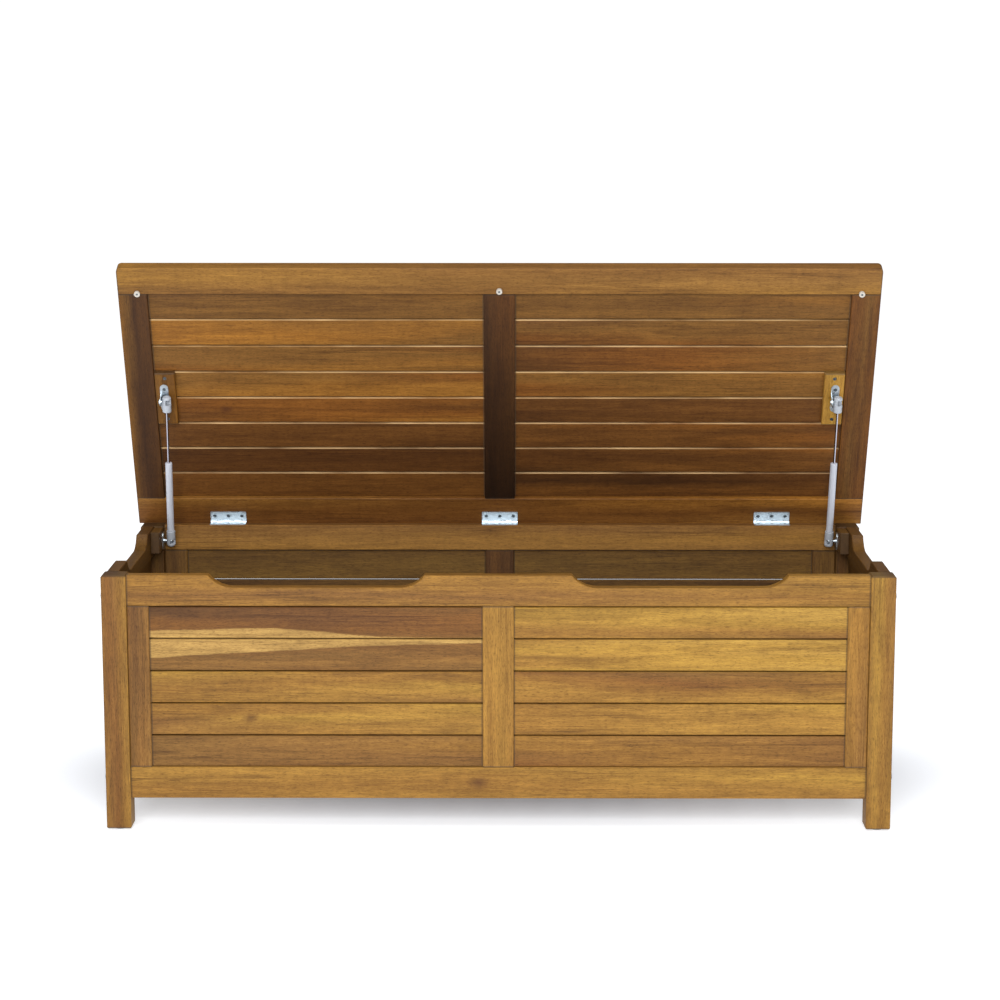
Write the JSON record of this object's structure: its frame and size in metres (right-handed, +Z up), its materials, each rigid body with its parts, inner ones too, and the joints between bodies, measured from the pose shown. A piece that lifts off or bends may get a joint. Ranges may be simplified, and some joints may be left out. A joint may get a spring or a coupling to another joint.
{
  "type": "deck storage box",
  "caption": "Slatted wooden deck box with a framed hinged lid held open by gas struts, and finger scoops in its front and side rails.",
  "frame": {"origin": "on the ground, at the middle of the box that holds the part with its lid open", "axes": "+X along the box to its right as seen from the front, +Y towards the hinge side, +Z up"},
  "size_m": [1.286, 0.5023, 0.897],
  "materials": {
    "acacia_frame": "oiled acacia, golden brown",
    "acacia_slats": "oiled acacia, mixed gold and brown boards",
    "acacia_lid_slats": "oiled acacia, mixed brown boards",
    "acacia_legs": "oiled acacia, golden brown",
    "acacia_dark": "oiled acacia heartwood, dark brown",
    "acacia_light": "oiled acacia, light gold",
    "zinc_steel": "zinc plated",
    "rod_chrome": "hard chrome, polished",
    "strut_paint": "light grey paint, satin",
    "socket_plastic": "light grey moulded",
    "white_nylon": "white nylon",
    "glide_plastic": "grey moulded"
  },
  "bodies": {
    "base": {"back_bottom_rail": "acacia_frame", "back_left_slats": "acacia_slats", "back_right_slats": "acacia_slats", "back_stiles": "acacia_frame", "back_top_rail": "acacia_frame", "barrel_nuts": "zinc_steel", "base_bracket_screws": "zinc_steel", "base_hinge_leaves": "zinc_steel", "base_hinge_screws": "zinc_steel", "floor_bearers": "acacia_frame", "floor_slats": "acacia_slats", "front_bottom_rail": "acacia_frame", "front_left_leg": "acacia_legs", "front_left_slats": "acacia_slats", "front_right_leg": "acacia_legs", "front_right_slats": "acacia_slats", "front_stiles": "acacia_frame", "front_top_rail": "acacia_frame", "hinge_pins": "zinc_steel", "left_base_ball_stud": "zinc_steel", "left_bottom_rail": "acacia_frame", "left_slats": "acacia_slats", "left_strut_block": "acacia_light", "left_top_rail": "acacia_frame", "leg_bolts": "zinc_steel", "leg_glides": "glide_plastic", "rear_left_leg": "acacia_legs", "rear_right_leg": "acacia_legs", "right_base_ball_stud": "zinc_steel", "right_bottom_rail": "acacia_frame", "right_slats": "acacia_slats", "right_strut_block": "acacia_light", "right_top_rail": "acacia_frame"},
    "lid": {"bumper_nails": "zinc_steel", "cleat_screws": "zinc_steel", "left_lid_bracket": "zinc_steel", "left_lid_cleat": "acacia_light", "lid_bracket_screws": "zinc_steel", "lid_bumpers": "white_nylon", "lid_centre_stile": "acacia_dark", "lid_front_rail": "acacia_frame", "lid_hinge_leaves": "zinc_steel", "lid_hinge_screws": "zinc_steel", "lid_left_slats": "acacia_lid_slats", "lid_left_stile": "acacia_dark", "lid_rear_rail": "acacia_frame", "lid_right_slats": "acacia_lid_slats", "lid_right_stile": "acacia_dark", "right_lid_bracket": "zinc_steel", "right_lid_cleat": "acacia_light"},
    "left_strut_tube_body": {"left_lower_socket": "socket_plastic", "left_strut_tube": "strut_paint"},
    "left_strut_rod_body": {"left_strut_rod": "rod_chrome", "left_strut_piston": "rod_chrome", "left_upper_socket": "socket_plastic"},
    "right_strut_tube_body": {"right_lower_socket": "socket_plastic", "right_strut_tube": "strut_paint"},
    "right_strut_rod_body": {"right_strut_rod": "rod_chrome", "right_strut_piston": "rod_chrome", "right_upper_socket": "socket_plastic"}
  },
  "joints": [
    {"name": "lid_hinge", "type": "hinge", "parent": "base", "child": "lid", "pos_m": [0, 0.22655, 0.4235], "axis": [1, 0, 0], "range_deg": [0, 67]},
    {"name": "left_strut_swing", "type": "hinge", "parent": "base", "child": "left_strut_tube_body", "pos_m": [-0.5805, 0.18455, 0.397], "axis": [0.9993, 0.0322, -0.0192], "range_deg": [0, 71.14]},
    {"name": "left_strut_slide", "type": "slide", "parent": "left_strut_tube_body", "child": "left_strut_rod_body", "axis": [0.0268, -0.258, 0.9658], "range_m": [-0.05212, 0], "stiffness_N_per_m": 600, "springref_m": 0.18},
    {"name": "right_strut_swing", "type": "hinge", "parent": "base", "child": "right_strut_tube_body", "pos_m": [0.5805, 0.18455, 0.397], "axis": [0.9999, 0.0095, -0.0057], "range_deg": [0, 71.18]},
    {"name": "right_strut_slide", "type": "slide", "parent": "right_strut_tube_body", "child": "right_strut_rod_body", "axis": [0.0079, -0.2581, 0.9661], "range_m": [-0.05214, 0], "stiffness_N_per_m": 600, "springref_m": 0.18}
  ],
  "couplings": [
    {"joint": "left_strut_swing", "follows": "lid_hinge", "ratio": 1.0611},
    {"joint": "left_strut_slide", "follows": "lid_hinge", "m_per_rad": -0.044525},
    {"joint": "right_strut_swing", "follows": "lid_hinge", "ratio": 1.0616},
    {"joint": "right_strut_slide", "follows": "lid_hinge", "m_per_rad": -0.044543}
  ]
}
